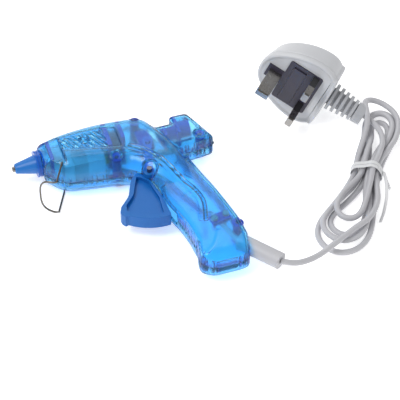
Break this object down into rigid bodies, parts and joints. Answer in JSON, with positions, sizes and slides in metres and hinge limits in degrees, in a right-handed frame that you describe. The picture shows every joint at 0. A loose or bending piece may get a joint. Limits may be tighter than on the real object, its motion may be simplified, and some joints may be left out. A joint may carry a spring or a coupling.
{
  "type": "glue gun",
  "caption": "Mini hot glue gun in translucent blue with a wire stand, lying on its side, its grey cord tied in a hank and ending in a moulded mains plug.",
  "frame": {"origin": "middle of the gun's own box (nozzle tip to rear block, crown to heel), on the surface it lies on; the cord, its strain relief and plug are left out of the box", "axes": "+X back along the barrel, out of the stick inlet; +Y up the gun from handle to barrel; +Z out of its left side, away from the surface"},
  "size_m": [0.233, 0.1469, 0.048],
  "materials": {
    "casing_blue": "translucent moulded",
    "sleeve_blue": "matte silicone",
    "dark_blue": "satin moulded",
    "trigger_blue": "satin moulded",
    "nozzle_metal": "dark, heat-tinted",
    "aluminium": "as cast",
    "ceramic": "unglazed",
    "brass": "plain",
    "spring_steel": "drawn wire",
    "stand_steel": "drawn wire",
    "seal_red": "silicone",
    "screw_steel": "zinc plated",
    "lead_brown": "sleeved",
    "lead_blue": "sleeved",
    "cord_grey": "soft PVC",
    "relief_grey": "soft moulded",
    "tie_white": "flat strap",
    "plug_grey": "moulded",
    "plug_navy": "moulded",
    "pin_metal": "nickel plated",
    "sleeve_black": "moulded",
    "fuse_white": "ceramic body"
  },
  "bodies": {
    "gun": {"left_casing": "casing_blue", "right_casing": "casing_blue", "nozzle": "nozzle_metal", "nozzle_sleeve": "sleeve_blue", "front_collar": "dark_blue", "melt_chamber": "aluminium", "ptc_heater": "ceramic", "heater_terminals": "brass", "heater_clip": "spring_steel", "inlet_seal": "seal_red", "stick_guide": "dark_blue", "return_spring": "spring_steel", "trigger_pin": "spring_steel", "casing_screws": "screw_steel", "cord_clamp": "dark_blue", "clamp_screws": "screw_steel", "live_lead": "lead_brown", "neutral_lead": "lead_blue", "inner_cord": "cord_grey", "strain_relief": "relief_grey", "cord_lead": "cord_grey", "cord_hank": "cord_grey", "cord_tail": "cord_grey", "hank_tie": "tie_white", "plug_body": "plug_grey", "plug_face": "plug_navy", "earth_pin": "pin_metal", "live_pin": "pin_metal", "neutral_pin": "pin_metal", "pin_sleeves": "sleeve_black", "flex_guard": "plug_grey"},
    "trigger": {"trigger": "trigger_blue"},
    "carriage": {"feed_carriage": "dark_blue", "jaw_pin": "spring_steel"},
    "jaw": {"grip_jaw": "spring_steel"},
    "stand": {"wire_stand": "stand_steel"},
    "fuse_holder": {"fuse_carrier": "plug_navy", "fuse": "fuse_white"}
  },
  "joints": [
    {"name": "trigger_pull", "type": "hinge", "parent": "gun", "child": "trigger", "pos_m": [0.0151, 0.01491, 0.0132], "axis": [0, 0, 1], "range_deg": [0, 18], "stiffness_Nm_per_rad": 0.35, "springref_deg": -17.19},
    {"name": "feed_slide", "type": "slide", "parent": "gun", "child": "carriage", "axis": [-1, 0, 0], "range_m": [0, 0.00727], "deforming": ["return_spring"]},
    {"name": "jaw_bite", "type": "hinge", "parent": "carriage", "child": "jaw", "pos_m": [0.0224, 0.04031, 0.0132], "axis": [0, 0, 1], "range_deg": [-6, 0]},
    {"name": "stand_fold", "type": "hinge", "parent": "gun", "child": "stand", "pos_m": [-0.0314, 0.03241, 0.0132], "axis": [0, 0, 1], "range_deg": [-50, 24]},
    {"name": "fuse_pull", "type": "slide", "parent": "gun", "child": "fuse_holder", "axis": [-0.6382, -0.7578, 0.1357], "range_m": [0, 0.012]}
  ],
  "couplings": [
    {"joint": "feed_slide", "follows": "trigger_pull", "m_per_rad": 0.023068}
  ]
}
